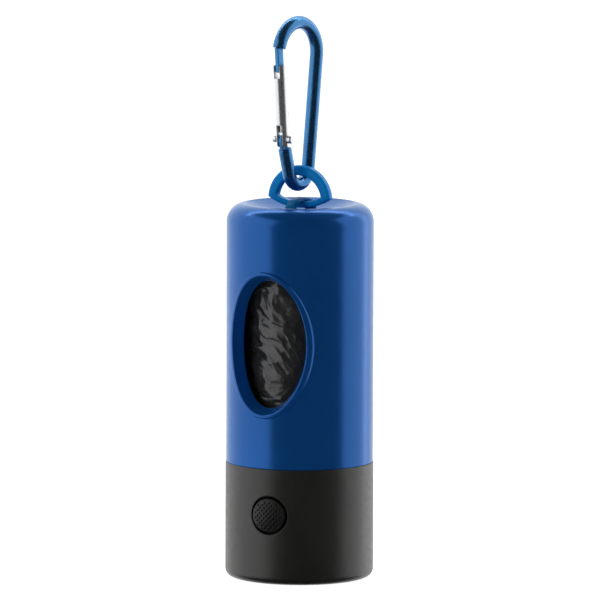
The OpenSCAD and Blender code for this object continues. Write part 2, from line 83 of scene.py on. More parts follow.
def shown(name, points, faces, body, slot, replaces=()):
    """Makes a closed mesh from points in millimetres, turns its faces outwards and rides it on a body."""
    mesh = bpy.data.meshes.new(name)
    mesh.from_pydata((np.asarray(points) * MM).tolist(), [], faces)
    work = bmesh.new()
    work.from_mesh(mesh)
    loose = [v for v in work.verts if not v.link_faces]
    bmesh.ops.delete(work, geom=loose, context="VERTS")
    bmesh.ops.recalc_face_normals(work, faces=work.faces)
    if work.calc_volume(signed=True) < 0:
        bmesh.ops.reverse_faces(work, faces=work.faces)
    work.to_mesh(mesh)
    work.free()
    mesh.polygons.foreach_set("use_smooth", np.full(len(mesh.polygons), True))
    mesh.update()
    piece = bpy.data.objects.new(name, mesh)
    bpy.context.scene.collection.objects.link(piece)
    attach(piece, body)
    if replaces:
        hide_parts(*replaces)
    return piece


def quads(index):
    """Four-sided faces between neighbouring entries of an index grid, joined end to start along its rows."""
    right = np.roll(index, -1, axis=1)
    return np.stack([index[:-1], right[:-1], right[1:], index[1:]], -1).reshape(-1, 4)


def tidy(faces):
    """Drops the repeated corner of faces that meet a pole, and gives plain lists."""
    faces = np.asarray(faces)
    same = faces == np.roll(faces, -1, axis=1)
    whole = faces[~same.any(1)]
    cut = same.sum(1) == 1
    corner = np.argmax(same[cut], axis=1)
    kept = np.arange(4)[None, :] != corner[:, None]
    return whole.tolist() + faces[cut][kept].reshape(-1, 3).tolist()


def rounded(points, radii, steps=6, closed=False):
    """A corner path with each corner cut to an arc that touches both its sides: the arc's ends lie
    radius over the tangent of half the corner's angle from the corner, and its middle on the bisector."""
    points = np.asarray(points, float)
    radii = np.broadcast_to(np.asarray(radii, float), len(points))
    out = []
    for i, corner in enumerate(points):
        if radii[i] <= 0 or (not closed and i in (0, len(points) - 1)):
            out.append(corner[None])
            continue
        back, on = points[i - 1] - corner, points[(i + 1) % len(points)] - corner
        back_len, on_len = np.linalg.norm(back), np.linalg.norm(on)
        back, on = back / back_len, on / on_len
        half = math.acos(float(np.clip(back @ on, -1, 1))) / 2
        if half > math.pi / 2 - 1e-3:
            out.append(corner[None])
            continue
        radius = min(radii[i], 0.48 * min(back_len, on_len) * math.tan(half))
        middle = corner + (back + on) / np.linalg.norm(back + on) * radius / math.sin(half)
        a, b = (corner + way * radius / math.tan(half) - middle for way in (back, on))
        sweep = math.pi - 2 * half
        t = np.linspace(0, 1, steps)[:, None]
        out.append(middle + (np.sin((1 - t) * sweep) * a + np.sin(t * sweep) * b) / math.sin(sweep))
    return np.concatenate(out)


def filled(path, step):
    """The same path with extra points, so that no stretch of it is longer than the step."""
    path = np.asarray(path, float)
    parts = np.maximum(np.ceil(np.linalg.norm(np.diff(path, axis=0), axis=1) / step - 1e-9), 1).astype(int)
    start = np.repeat(np.arange(len(parts)), parts)
    share = (np.arange(parts.sum()) - np.repeat(np.cumsum(parts) - parts, parts)) / parts[start]
    return np.concatenate([path[start] + (path[start + 1] - path[start]) * share[:, None], path[-1:]])


def turned(profile, columns, centre=0.0, closed=False, port=None):
    """Points and faces of a profile of (radius, height) turned about the upright axis:
    x = r sin t, y = -r cos t. Zero radius at an end makes a pole. A port is an oval opening between two
    straight stretches of the profile: rays run from the oval to a block's edge, and each ray carries
    the same section of (half width, half height, radius)."""
    profile = np.asarray(profile, float)
    t = centre + 2 * math.pi * np.arange(columns) / columns
    r, z = profile[:, 0], profile[:, 1]
    grid = np.stack([r[:, None] * np.sin(t), -r[:, None] * np.cos(t), np.repeat(z[:, None], columns, 1)], -1)
    index = np.arange(len(profile) * columns).reshape(len(profile), columns)
    for row in (0, len(profile) - 1):
        if not closed and r[row] < 1e-9:
            index[row] = index[row, 0]
    rows = np.concatenate([index, index[:1]]) if closed else index
    faces = quads(rows)
    if port is None:
        return grid.reshape(-1, 3), tidy(faces)
    a, b, c, half, zc = (port[k] for k in ("outer_first", "outer_last", "inner_last", "half", "z"))
    row_of = np.repeat(np.arange(len(rows) - 1), columns)
    col_of = np.tile(np.arange(columns), len(rows) - 1)
    inside = (col_of < half) | (col_of >= columns - half)
    outer = (row_of >= a) & (row_of < b)
    inner = (row_of >= c - (b - a)) & (row_of < c)
    faces = faces[~(inside & (outer | inner))]
    along, down = np.arange(-half, half), np.arange(a, b)
    bi = np.concatenate([np.full(2 * half, a), down, np.full(2 * half, b), down[::-1] + 1])
    bj = np.concatenate([along, np.full(b - a, half), along[::-1] + 1, np.full(b - a, -half)])
    edge_t, edge_z = 2 * math.pi * bj / columns, z[bi]
    outer_r, inner_r = r[a], r[c]
    angle = np.arctan2((edge_z - zc) / (z[a] - z[b]), edge_t / (4 * math.pi * half / columns))
    section = np.asarray(port["section"], float)
    lip_t = np.arcsin(section[:, :1] * np.cos(angle) / section[:, 2:])
    lip_z = zc + section[:, 1:2] * np.sin(angle)
    lip_r = np.repeat(section[:, 2:], len(angle), 1)
    share = (np.arange(1, port["steps"]) / port["steps"])[:, None]
    out_t, out_z = edge_t + (lip_t[0] - edge_t) * share, edge_z + (lip_z[0] - edge_z) * share
    in_t, in_z = lip_t[-1] + (edge_t - lip_t[-1]) * share, lip_z[-1] + (edge_z - lip_z[-1]) * share
    ray_t, ray_z = np.concatenate([out_t, lip_t, in_t]), np.concatenate([out_z, lip_z, in_z])
    ray_r = np.concatenate([np.full_like(out_t, outer_r), lip_r, np.full_like(in_t, inner_r)])
    ray_t = ray_t + centre
    rays = np.stack([ray_r * np.sin(ray_t), -ray_r * np.cos(ray_t), ray_z], -1)
    ray_index = grid.shape[0] * columns + np.arange(ray_t.size).reshape(ray_t.shape)
    strip = np.concatenate([index[bi, bj][None], ray_index, index[c - (bi - a), bj][None]])
    points = np.concatenate([grid.reshape(-1, 3), rays.reshape(-1, 3)])
    return points, tidy(np.concatenate([faces, quads(strip)]))


def swept(path, across, section, sizes=None, caps=0.3):
    """Points and faces of a section carried along a flat path. Each section point is
    path + size (u (across x tangent) + v across), and the ends are rounded over and closed."""
    path, section = np.asarray(path, float), np.asarray(section, float)
    across = np.asarray(across, float) / np.linalg.norm(across)
    tangent = np.gradient(path, axis=0)
    tangent /= np.linalg.norm(tangent, axis=1)[:, None]
    side = np.cross(across, tangent)
    sizes = np.ones(len(path)) if sizes is None else sizes
    turn = np.linspace(0, math.pi / 2, 6)[1:]
    shrink = 1 - caps * (1 - np.cos(turn)) / np.abs(section).max()
    low = (path[0] - tangent[0] * (caps * np.sin(turn))[:, None])[::-1]
    high = path[-1] + tangent[-1] * (caps * np.sin(turn))[:, None]
    path = np.concatenate([low, path, high])
    side = np.concatenate([np.repeat(side[:1], len(turn), 0), side, np.repeat(side[-1:], len(turn), 0)])
    sizes = np.concatenate([sizes[0] * shrink[::-1], sizes, sizes[-1] * shrink])[:, None, None]
    u, v = section[:, :1], section[:, 1:]
    return skinned(path[:, None] + sizes * (u * side[:, None] + v * across))


def skinned(points):
    """A closed tube through rows of points, with each end closed by a fan to its middle."""
    index = np.arange(points[..., 0].size).reshape(points.shape[:2])
    n, width = index.size, index.shape[1]
    rows = np.concatenate([np.full((1, width), n), index, np.full((1, width), n + 1)])
    ends = np.stack([points[0].mean(0), points[-1].mean(0)])
    return np.concatenate([points.reshape(-1, 3), ends]), tidy(quads(rows))


def looped(points):
    """Points and faces of a grid of points that is joined end to start along both its rows and its columns."""
    index = np.arange(points[..., 0].size).reshape(points.shape[:2])
    return points.reshape(-1, 3), quads(np.concatenate([index, index[:1]])).tolist()


def joined(parts):
    """Several closed sets of points and faces as one."""
    points, faces, start = [], [], 0
    for p, f in parts:
        points.append(p)
        faces += [[i + start for i in face] for face in f]
        start += len(p)
    return np.concatenate(points), faces


def circle(radius):
    """A circle's points: (r cos t, r sin t)."""
    t = 2 * math.pi * np.arange(40) / 40
    return radius * np.stack([np.cos(t), np.sin(t)], -1)


def rounded_box(half_u, half_v, radius):
    """A rectangle with rounded corners, centred."""
    corners = [(half_u, -half_v), (half_u, half_v), (-half_u, half_v), (-half_u, -half_v)]
    return rounded(corners, radius, 5, closed=True)


# MATERIAL HELPERS


def nodes_of(name):
    """A new material with its node tree and its surface shader."""
    made = bpy.data.materials.new(name)
    made.use_nodes = True
    tree = made.node_tree
    return made, tree, tree.nodes["Principled BSDF"]


def feed(tree, target, inputs):
    """Fills a node's inputs: another node's output is linked, and a plain value is set on the input itself."""
    for key, value in inputs.items():
        if isinstance(value, bpy.types.NodeSocket):
            tree.links.new(value, target.inputs[key])
        else:
            target.inputs[key].default_value = value


def node(tree, kind, inputs, **options):
    """A new node with its options set and its inputs filled."""
    made = tree.nodes.new("ShaderNode" + kind)
    for key, value in options.items():
        setattr(made, key, value)
    feed(tree, made, inputs)
    return made


def shaded(colour, share):
    """A colour, darker or lighter by a share."""
    return tuple(share * c for c in colour)


def noise(tree, scale, detail=4.0, rough=0.55, stretch=(1, 1, 1), distortion=0.0):
    """A noise pattern in the piece's own space, stretched along its axes if asked."""
    place = node(tree, "TexCoord", {}).outputs["Object"]
    mapped = node(tree, "Mapping", {"Vector": place, "Scale": stretch}).outputs["Vector"]
    return node(tree, "TexNoise", {"Vector": mapped, "Scale": scale, "Detail": detail, "Roughness": rough,
                                   "Distortion": distortion}).outputs["Fac"]


def spread(tree, value, low, high):
    """The middle of a noise pattern's range carried to another range."""
    return node(tree, "MapRange", {"Value": value, "From Min": 0.3, "From Max": 0.7,
                                   "To Min": low, "To Max": high}).outputs["Result"]


def blended(tree, value, first, second, start=0.35, end=0.65):
    """A colour that runs from the first to the second as the value climbs."""
    ramp = node(tree, "ValToRGB", {"Fac": value})
    for stop, place, tone in zip(ramp.color_ramp.elements, (start, end), (first, second)):
        stop.position, stop.color = place, (*tone, 1)
    return ramp.outputs["Color"]


def bumped(tree, shader, heights, strength, distance):
    """Fine relief on a surface from one or more (height, share) pairs, laid over each other."""
    normal = {}
    for height, share in heights:
        bump = node(tree, "Bump", {"Strength": strength * share, "Distance": distance,
                                   "Height": height, **normal})
        normal = {"Normal": bump.outputs["Normal"]}
    feed(tree, shader, normal)


def finish(name, colour, rough=0.4, metallic=0.0, coat=0.0, shade=0.85, scale=300.0, grain=0.1,
           stretch=(1, 1, 1), specular=0.5, tint=(1, 1, 1)):
    """A finish with a slightly uneven tone, uneven gloss and a fine grain."""
    made, tree, shader = nodes_of(name)
    feed(tree, shader, {
        "Base Color": blended(tree, noise(tree, scale, stretch=stretch), shaded(colour, shade), colour),
        "Roughness": spread(tree, noise(tree, scale * 2.3, 6, 0.6, stretch), rough * 0.75, rough * 1.25),
        "Metallic": metallic, "Coat Weight": coat, "Coat Roughness": 0.1, "Specular IOR Level": specular,
        "Specular Tint": (*tint, 1)})
    bumped(tree, shader, [(noise(tree, scale * 9, 3, 0.6, stretch), 1.0)], grain, 0.00005)
    return made


def paint(piece, material):
    """Puts one material on a piece or a carried CAD node."""
    piece.data.materials.clear()
    piece.data.materials.append(material)


# SETTINGS


def length(name, description, default):
    return FloatProperty(name=name, description=description, default=default, unit="LENGTH", precision=5)


def angle(name, description, default):
    return FloatProperty(name=name, description=description, default=default, subtype="ANGLE")


def colour(name, description, default):
    return FloatVectorProperty(name=name, description=description, default=default, subtype="COLOR",
                               min=0, max=1)


class ShellSettings(bpy.types.PropertyGroup):
    side_radius: length("Side radius", "Outside radius of the shell", 0.01995)
    wall: length("Wall", "Thickness of the shell", 0.0016)
    crest_height: length("Crest height", "Height of the top's crest", 0.1016)
    shoulder_radius: length("Shoulder radius", "Radius of the rounded shoulder", 0.005)
    dish_depth: length("Dish depth", "Depth of the dish inside the crest", 0.0032)
    window_width: length("Window half width", "Half width of the window at its outer edge", 0.0114)
    window_tall: length("Window half height", "Half height of the window at its outer edge", 0.0188)
    window_height: length("Window height", "Height of the window's middle", 0.0649)
    lip_proud: length("Lip rise", "How far the lip stands proud", 0.0005)
    bridge_width: length("Bridge width", "Width of the bridge over the dish", 0.0028)
    colour: colour("Blue", "Colour of the shell", (0.004, 0.095, 0.38))


class BaseSettings(bpy.types.PropertyGroup):
    foot_radius: length("Foot radius", "Rounding of the bottom edge", 0.0038)
    hole_radius: length("Button hole", "Radius of the button's hole", 0.0052)
    button_rise: length("Button rise", "How far the button's dome stands out of the base", 0.0013)
    button_turn: angle("Button turn", "Angle of the button from the window's middle", math.radians(4.5))
    dimple_pitch: length("Dimple pitch", "Distance between the button's dimples", 0.00098)
    colour: colour("Black", "Colour of the base", (0.019, 0.019, 0.0175))


class RollSettings(bpy.types.PropertyGroup):
    bulge: length("Bulge", "How far the loose outer layer stands off the roll", 0.001)
    crease_depth: length("Crease depth", "Depth of the film's creases", 0.0008)
    colour: colour("Film", "Colour of the bags", (0.028, 0.028, 0.029))
    seed: IntProperty(name="Seed", description="Start value of the creases' layout", default=4)


class ClipSettings(bpy.types.PropertyGroup):
    rod_radius: length("Rod radius", "Radius of the clip's rod", 0.0018)
    clip_turn: angle("Clip turn", "Turn of the clip about the upright axis", math.radians(8))
    clip_colour: colour("Clip blue", "Colour of the clip", (0.055, 0.21, 0.46))
    ring_colour: colour("Ring blue", "Colour of the ring", (0.0, 0.36, 1.0))
    gate_colour: colour("Gate silver", "Colour of the gate", (0.8, 0.81, 0.83))


class StageSettings(bpy.types.PropertyGroup):
    view_turn: angle("View turn", "Angle of the camera round the object", math.radians(29))
    view_pitch: angle("View pitch", "How far the camera looks down", 0.12146)
    view_roll: angle("View roll", "Tilt of the camera about its line of sight", math.radians(0.19))
    distance: length("Distance", "Distance of the camera from the object's axis", 2.0)
    height: length("Height", "Height of the camera", 0.3193)
    lens: FloatProperty(name="Lens", description="Focal length in millimetres", default=446.8, unit="CAMERA")
    side_light: FloatProperty(name="Side light", description="Radiance of the two side lights", default=1.25)
    strip_light: FloatProperty(name="Strip light", description="Radiance of the strip behind", default=9.0)


def settings(group):
    return getattr(bpy.context.scene, "dispenser_" + group)


# SHELL


def top_outline(s, inset):
    """The shell's top from its middle out to the side, set in by the inset: a dish of height
    depth (r / crest)^2 that eases into the crest, then a quarter circle down the shoulder."""
    radius = s.shoulder_radius / MM
    crest_r, crest_z, depth = s.side_radius / MM - radius, s.crest_height / MM, s.dish_depth / MM
    share = np.linspace(0, 1, 41)[:-1]
    ease_drop, ease_share, ease_from = 0.12, 0.05, 0.8
    ease = ease_drop * np.exp(-((1 - share) / ease_share)) * (share > ease_from)
    dish = np.stack([crest_r * share, crest_z - inset - depth * (1 - share ** 2) - ease], -1)
    t = np.radians(np.arange(90, -1, -3))
    arc = np.stack([np.cos(t), np.sin(t)], -1) * (radius - inset) + [crest_r, crest_z - radius]
    return np.concatenate([dish, arc])


def window_section(s):
    """The window's edge as (half width, half height, radius): the shell's side, a raised round lip,
    a wall that flares inwards to the collar's end, and the collar's back down to the bore. Above and below
    the window the lip and the flare are narrower than beside it."""
    side, bore = s.side_radius / MM, (s.side_radius - s.wall) / MM
    wide, tall, lip = s.window_width / MM, s.window_tall / MM, side + s.lip_proud / MM
    foot, lip_out, lip_in, flare, collar = 1.5, 1.3, 0.05, 2.0, side - 3.35
    foot_tall, flare_tall = 1.0, 1.7
    path = [(foot + 0.25, side), (foot, side), (lip_out, lip), (lip_in, lip), (-flare, collar),
            (lip_out, collar), (lip_out, bore), (foot, bore)]
    path = filled(rounded(path, [0, 0.2, 0.45, 0.6, 0.25, 0.2, 0.1, 0], 8), 0.45)
    out, radius = path[:, 0], path[:, 1]
    rise = np.where(out > 0, out * foot_tall / foot, out * flare_tall / flare)
    return np.stack([wide + out, tall + rise, radius], -1)


class DISPENSER_OT_shell(bpy.types.Operator):
    """Builds the blue shell with its window, its dished top and the bridge that holds the ring"""

    bl_idname = "dispenser.shell"
    bl_label = "Shell"

    def execute(self, context):
        s = settings("shell")
        side, bore = s.side_radius / MM, (s.side_radius - s.wall) / MM
        outer, inner = top_outline(s, 0), top_outline(s, s.wall / MM)
        zc, port_reach, edge = s.window_height / MM, 26, 0.25
        port_z = np.linspace(zc + port_reach, zc - port_reach, 61)
        above = np.linspace(outer[-1, 1], port_z[0], 8)[1:-1]
        below = np.linspace(port_z[-1], SEAM + edge, 8)[1:]
        column = np.concatenate([above, port_z, below])
        foot = rounded([(side, SEAM + 1), (side, SEAM), (bore, SEAM), (bore, SEAM + 1)],
                       [0, 0.2, 0.15, 0], 5)[1:-1]
        profile = np.concatenate([outer, upright(side, column), foot, upright(bore, column)[::-1], inner[::-1]])
        first = len(outer) + len(above)
        inner_first = len(outer) + len(column) + len(foot) + len(below)
        port = {"outer_first": first, "outer_last": first + len(port_z) - 1, "half": 42, "z": zc, "steps": 9,
                "inner_last": inner_first + len(port_z) - 1, "section": window_section(s)}
        points, faces = turned(profile, 256, port=port)
        shell = shown("shell_body", points, faces, "shell", "shell_blue", ["shell"])
        bridge = shown("ring_bridge", *self.bridge(s), "shell", "shell_blue")
        paint(shell, shell_blue(s))
        paint(bridge, ring_satin("bridge_satin", 0.36, 0.12))
        return {"FINISHED"}

    def bridge(self, s):
        """The arch between two half ellipses from front to back, with rounded edges and its feet sunk in the
        dish: each section is a rounded rectangle from the inner ellipse's point to the outer one's."""
        half, thick, edge, wide = 6.88, 2.0, 0.35, s.bridge_width / MM
        dish, top = (s.crest_height - s.dish_depth) / MM, cad_box("shell")[1][2]
        spring, under, over = dish + 0.7, top - 1.0, top - 0.01
        t = np.linspace(0, math.pi, 61)
        foot = np.array([[0, -1.2], [0, -0.6]])
        arches = []
        for reach, crown in ((half, over), (half - thick, under)):
            arch = np.stack([reach * np.cos(t), spring + (crown - spring) * np.sin(t)], -1)
            arches.append(np.concatenate([arch[:1] + foot, arch, arch[-1:] + foot[::-1]]))
        outer, inner = arches
        deep = np.linalg.norm(outer - inner, axis=1)
        rows = []
        for middle, out, half_deep in zip((outer + inner) / 2, (outer - inner) / deep[:, None], deep / 2):
            section = rounded_box(half_deep, wide / 2, edge)
            rows.append(np.column_stack([section[:, 1], middle + out * section[:, :1]]))
        return skinned(np.array(rows))


def upright(radius, heights):
    """A straight stretch of a turned profile: (radius, height) at each height."""
    return np.stack([np.full_like(heights, radius), heights], -1)


def shell_blue(s):
    """Deep glossy blue plastic with a slight pearl, faint flow in its gloss and fine dust pits."""
    made, tree, shader = nodes_of("shell_blue")
    feed(tree, shader, {
        "Base Color": blended(tree, noise(tree, 60, 3), shaded(s.colour, 0.92), s.colour),
        "Roughness": spread(tree, noise(tree, 420, 5), 0.21, 0.27),
        "Metallic": 0.42, "Specular Tint": (0.68, 0.87, 1.0, 1)})
    bumped(tree, shader, [(noise(tree, 90, 2), 0.5), (noise(tree, 900, 2), 0.5)], 0.03, 0.00003)
    return made


# BASE AND BUTTON


class DISPENSER_OT_base(bpy.types.Operator):
    """Builds the black torch base with its rounded foot, its neck and the hole for the button"""

    bl_idname = "dispenser.base"
    bl_label = "Torch base"

    def execute(self, context):
        s = settings("base")
        side, foot_r, hole = BASE_R, s.foot_radius / MM, s.hole_radius / MM
        neck, bore, foot_bore, port_reach = cad_box("torch_cover")[1][0] + 1.4, 16.7, 15.65, 9
        port_z = np.linspace(BUTTON_Z + port_reach, BUTTON_Z - port_reach, 25)
        ledge = port_z[-1] - 1
        top = rounded([(bore, NECK_TOP - 3), (bore, NECK_TOP), (neck, NECK_TOP), (neck, SEAM), (side, SEAM),
                       (side, SEAM - 1)], [0, 0.2, 0.3, 0.1, 0.25, 0], 6)
        low = rounded([(side, foot_r + 2), (side, 0), (foot_bore, 0), (foot_bore, ledge), (bore, ledge),
                       (bore, port_z[-1])], [0, foot_r, 0.25, 0.1, 0.1, 0], 14)
        top, low = filled(top, 1.2), filled(low, 1.5)
        profile = np.concatenate([top, upright(side, port_z), low[:-1], upright(bore, port_z)[::-1]])
        lip = 0.9
        path = filled(rounded([(lip, side), (0, side), (0, bore), (lip, bore)], [0, 0.3, 0.2, 0], 7), 0.5)
        section = np.stack([hole + path[:, 0], hole + path[:, 0], path[:, 1]], -1)
        port = {"outer_first": len(top), "outer_last": len(top) + len(port_z) - 1, "half": 19, "z": BUTTON_Z,
                "inner_last": len(profile) - 1, "section": section, "steps": 5}
        points, faces = turned(profile, 256, s.button_turn, closed=True, port=port)
        base = shown("base_body", points, faces, "base", "base_black", ["base_housing"])
        paint(base, base_black(s))
        return {"FINISHED"}


def base_black(s):
    """Satin moulded black plastic: a fine spark-eroded grain and a few lighter rub marks."""
    made, tree, shader = nodes_of("base_black")
    rubs = noise(tree, 90, 6, 0.7, (1, 1, 0.35))
    feed(tree, shader, {
        "Base Color": blended(tree, rubs, s.colour, shaded(s.colour, 1.5), 0.5, 0.8),
        "Roughness": spread(tree, noise(tree, 700, 4), 0.34, 0.44), "Specular IOR Level": 0.62})
    bumped(tree, shader, [(noise(tree, 5200, 2), 1.0)], 0.12, 0.00004)
    return made


class DISPENSER_OT_button(bpy.types.Operator):
    """Builds the rubber button with its domed face and diagonal dimples"""

    bl_idname = "dispenser.button"
    bl_label = "Button"

    def execute(self, context):
        s = settings("base")
        turn, pitch = s.button_turn, s.dimple_pitch / MM
        face_r, sag, edge, columns = 4.6, 1.3, 0.4, 200
        front, back, flange, flange_front = BASE_R + s.button_rise / MM, 15.9, 5.98, 16.9
        dome = (face_r ** 2 + sag ** 2) / (2 * sag)
        side = rounded([(face_r, front - sag - 0.1), (face_r, flange_front), (flange, flange_front),
                        (flange, back), (0, back)], [0, 0.1, 0.15, 0.15, 0], 5)
        flat = np.linspace(0, face_r - edge, 60)
        bend = np.linspace(0, math.pi / 2, 7)[1:]
        dome_z = front - dome + np.sqrt(dome ** 2 - flat ** 2)
        outline = np.concatenate([
            np.stack([flat, dome_z], -1),
            np.stack([face_r - edge + edge * np.sin(bend), dome_z[-1] - edge * (1 - np.cos(bend))], -1),
            filled(side[1:], 0.6)])
        points, faces = turned(outline, columns)
        across, up = points[: len(flat) * columns, :2].T
        p, q = (across + up) / (math.sqrt(2) * pitch), (up - across) / (math.sqrt(2) * pitch)
        near_p, near_q = np.round(p), np.round(q)
        off, seat = pitch * np.hypot(p - near_p, q - near_q), pitch * np.hypot(near_p, near_q)
        dimple_depth, dimple_r, plain_rim = 0.26, 0.37, 0.6
        depth = dimple_depth * np.clip(1 - (off / dimple_r) ** 2, 0, 1) * (seat < face_r - plain_rim)
        points[: len(flat) * columns, 2] -= depth
        out = np.array([math.sin(turn), -math.cos(turn), 0])
        right = np.array([math.cos(turn), math.sin(turn), 0])
        placed = points[:, :1] * right + points[:, 1:2] * UP + points[:, 2:] * out + BUTTON_Z * UP
        button = shown("button_cap", placed, faces, "button", "button_rubber", ["button"])
        paint(button, finish("button_rubber", (0.014, 0.014, 0.013), 0.5, scale=400, grain=0.2, specular=0.4))
        return {"FINISHED"}


# BAG ROLL


class DISPENSER_OT_roll(bpy.types.Operator):
    """Builds the roll of black bags with its crumpled film and its wound ends"""

    bl_idname = "dispenser.roll"
    bl_label = "Bag roll"

    def execute(self, context):
        s = settings("roll")
        low, high, outer = ROLL_LO[2], ROLL_HI[2], ROLL_HI[0] + s.bulge / MM
        inner, columns, turns, layer = cad_box("roll_core")[1][0] + 0.02, 420, 30, 0.12
        t = 2 * math.pi * np.arange(columns) / columns
        tt, zz = np.meshgrid(t, np.linspace(low + 0.5, high - 0.5, 174))
        r = outer - self.creases(tt, zz, s)
        end_r = np.repeat(np.linspace(outer - 0.6, inner, turns)[:, None], columns, 1)
        end_z = np.repeat((high - 0.2 + layer * (np.arange(turns) % 2) - layer)[:, None], columns, 1)
        rr = np.concatenate([end_r[::-1], r, end_r])
        hh = np.concatenate([(low + high - end_z)[::-1], zz, end_z])
        grid = np.stack([rr * np.sin(t), -rr * np.cos(t), hh], -1)
        roll = shown("bag_film", *looped(grid), "roll", "bag_film", ["bag_roll"])
        paint(roll, bag_film(s))
        return {"FINISHED"}

    def creases(self, t, z, s):
        """Depth of the film's creases. Each layer is a field of stretched cells whose depth falls to zero at
        the border between the two nearest seeds, min(far - near, cap), so cells read as flat folded facets.
        A layer has its share of the depth, its cells' size, their stretch and the lean of their long side."""
        rng = np.random.default_rng(s.seed)
        radius, cap, spare, least, most = ROLL_HI[0] - 0.5, 0.7, 4, 0.03, 1.4
        around, bottom, top = 2 * math.pi * radius, z.min(), z.max()
        u = t * radius
        warp = 0.9 * np.sin(z / 5.3 + 3 * t) + 0.6 * np.sin(z / 2.9 - 5 * t + 1.7)
        depth = np.zeros_like(t)
        for amount, size, stretch, lean in ((1.0, 7.0, 1.4, 15), (0.55, 3.0, 2.9, 36), (0.2, 1.3, 2.6, 30)):
            count = int(around * (top - bottom + 2 * spare) / (size * size * stretch))
            seed = np.stack([rng.uniform(0, around, count),
                             rng.uniform(bottom - spare, top + spare, count)], -1)
            seed = np.concatenate([seed, seed + [around, 0], seed - [around, 0]])
            cos, sin = math.cos(math.radians(lean)), math.sin(math.radians(lean))
            seed_a = (seed[:, 0] * cos - seed[:, 1] * sin) / stretch
            seed_b = seed[:, 0] * sin + seed[:, 1] * cos
            for row in range(len(z)):
                near = np.abs(seed[:, 1] - z[row, 0]) < size * stretch * 2.2
                px, pz = u[row] + warp[row], z[row] + 0.4 * warp[row]
                a = ((px * cos - pz * sin) / stretch)[:, None] - seed_a[near]
                b = (px * sin + pz * cos)[:, None] - seed_b[near]
                two = np.partition(np.hypot(a, b), 1, axis=1)[:, :2]
                depth[row] += amount * np.minimum((two[:, 1] - two[:, 0]) / size, cap)
        return np.clip(least + s.crease_depth / MM * (depth / 0.8), least, most)


def bag_film(s):
    """Thin black film: satin, with fine wrinkles across the creases and a broken sheen."""
    made, tree, shader = nodes_of("bag_film")
    tone = noise(tree, 260, 6, 0.65, (1, 1, 0.7))
    feed(tree, shader, {
        "Base Color": blended(tree, tone, shaded(s.colour, 0.7), shaded(s.colour, 1.3), 0.35, 0.7),
        "Roughness": spread(tree, noise(tree, 500, 5), 0.17, 0.28), "Specular IOR Level": 0.7})
    wrinkle = noise(tree, 420, 5, 0.6, (1, 1, 1.6), 1.5)
    fine = noise(tree, 1500, 3, 0.6, (1, 1, 1.4), 0.8)
    bumped(tree, shader, [(wrinkle, 1.0), (fine, 0.4)], 0.25, 0.0003)
    return made


# RING AND CLIP


class DISPENSER_OT_ring(bpy.types.Operator):
    """Builds the flat half-round ring with its bowed lower bar"""

    bl_idname = "dispenser.ring"
    bl_label = "Ring"

    def execute(self, context):
        lo, hi = cad_box("d_ring")
        arch_r, corner_rise, bow_lift = hi[0], 2.75, 1.6
        arch_width, bar_width, half_thick, edge = 2.7, 1.65, 1.2, 0.42
        slim_to, full_from, slim_share = 2.35, 2.8, 0.65
        bow_r = (arch_r ** 2 + corner_rise ** 2) / (2 * corner_rise)
        middle = np.array([0, lo[2] + corner_rise + bow_lift])
        angles = 2 * math.pi * np.arange(360) / 360
        ray = np.stack([np.cos(angles), np.sin(angles)], -1)

        def reach(centre_z, radius):
            """Distance from the middle along each ray to a circle round (0, centre): the positive root."""
            off = middle - np.array([0, centre_z])
            b = ray @ off
            return -b + np.sqrt(b ** 2 - off @ off + radius ** 2)

        def outline(arch_inset, bar_inset, soft):
            """The smaller of the distances to the arch and to the bowed bar, with the corner rounded."""
            arch = reach(hi[2] - arch_r, arch_r - arch_inset)
            bar = reach(lo[2] + bow_r, bow_r - bar_inset)
            return -soft * np.logaddexp(-arch / soft, -bar / soft)

        outer, inner = outline(0, 0, 0.09), outline(arch_width, bar_width, 0.25)
        section = rounded_box(1.0, half_thick, edge)
        across = inner[:, None] + (outer - inner)[:, None] * (section[:, 0] + 1) / 2
        # The bar is slimmer where it passes under the bridge
        slim = np.interp(np.abs(ray[:, 0] * outer), [slim_to, full_from], [slim_share, 1.0])
        slim = np.where(ray[:, 1] < 0, slim, 1.0)
        grid = np.stack([ray[:, :1] * across, slim[:, None] * section[:, 1],
                         middle[1] + ray[:, 1:] * across], -1)
        ring = shown("hanging_ring", *looped(grid), "ring", "ring_blue", ["d_ring"])
        paint(ring, ring_satin("ring_satin", 0.74, 0.4))
        return {"FINISHED"}


def ring_satin(name, share, sheen):
    """Satin blue plastic of the ring, or in a deeper tone of the bridge, with a bluish sheen."""
    tone = shaded(settings("clip").ring_colour, share)
    return finish(name, tone, 0.34, scale=220, grain=0.05, specular=sheen, tint=(0.15, 0.55, 1.0))


# Sizes of the clip as in the CAD frame, in millimetres and radians
BEND_R, CROWN_R, SPAN, GATE_LEN = 4.3, 8.5, 31.1, 20.5
LEAN, ARM, NOSE = math.radians(6.8), math.radians(16), math.radians(10)


def clip_axes():
    """The clip's directions, turned about the upright axis: back, and across its plane."""
    turn = settings("clip").clip_turn
    return np.array([math.sin(turn), math.cos(turn), 0]), np.array([math.cos(turn), -math.sin(turn), 0])


def clip_place(line):
    """Points (back, height) of the clip's plane as points of the object: back along the plane from its bend's
    middle, and height up."""
    return line[..., :1] * clip_axes()[0] + line[..., 1:] * UP + [JOINT_AT["clip_swing"][0] / MM, 0, 0]


